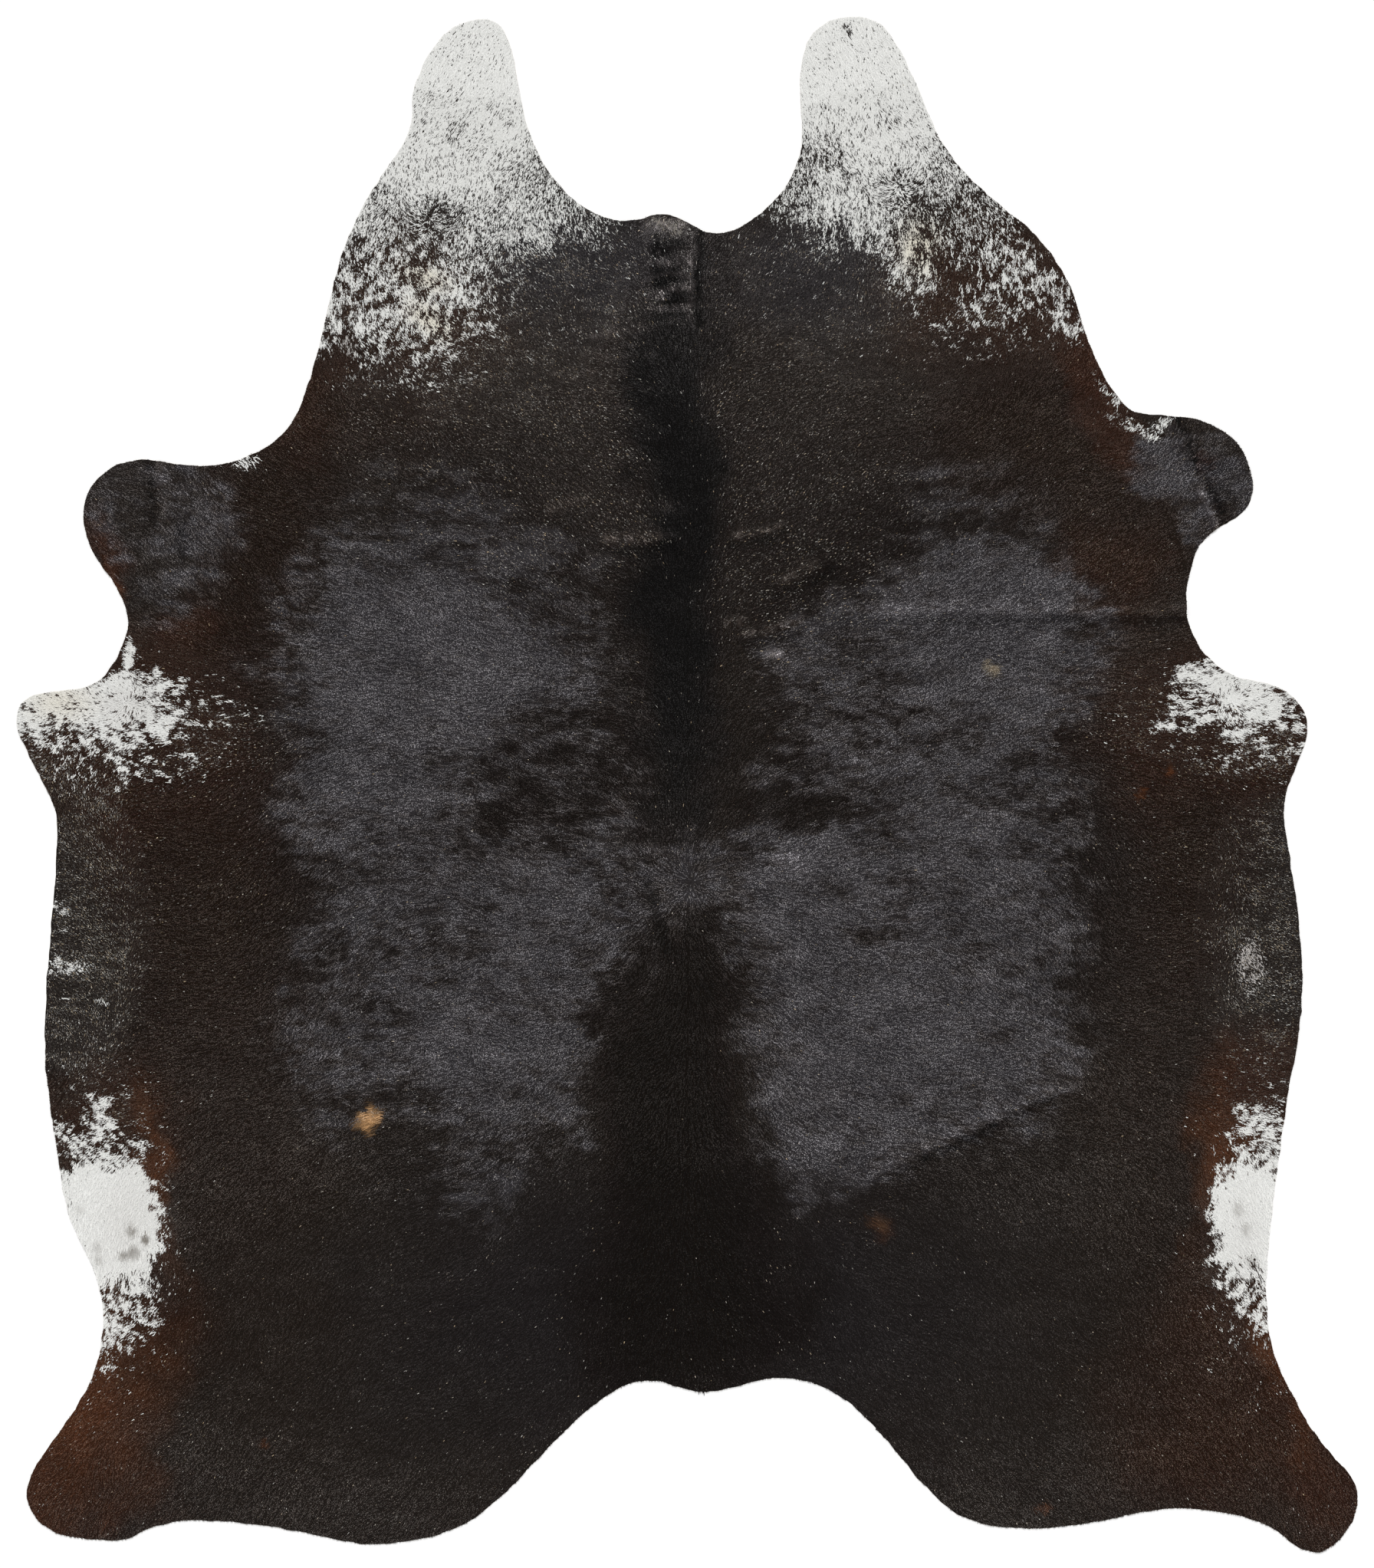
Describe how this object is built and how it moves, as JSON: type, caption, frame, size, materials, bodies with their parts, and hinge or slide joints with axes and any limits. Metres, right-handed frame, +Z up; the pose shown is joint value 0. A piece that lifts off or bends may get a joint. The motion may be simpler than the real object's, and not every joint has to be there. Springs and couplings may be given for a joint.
{
  "type": "cowhide rug",
  "caption": "Whole hair-on cowhide laid flat as a rug, with its neck, legs and belly outline and a few soft creases.",
  "frame": {"origin": "on the surface that the rug lies on, under the middle of its length and width", "axes": "+Y from the tail to the neck, +X to the right of the spine seen from above, +Z up"},
  "size_m": [2.004, 2.295, 0.0079],
  "materials": {
    "hide": "short glossy hair, black and dark brown with white patches; bare suede underneath"
  },
  "bodies": {
    "root": {"cowhide": "hide"}
  },
  "joints": []
}
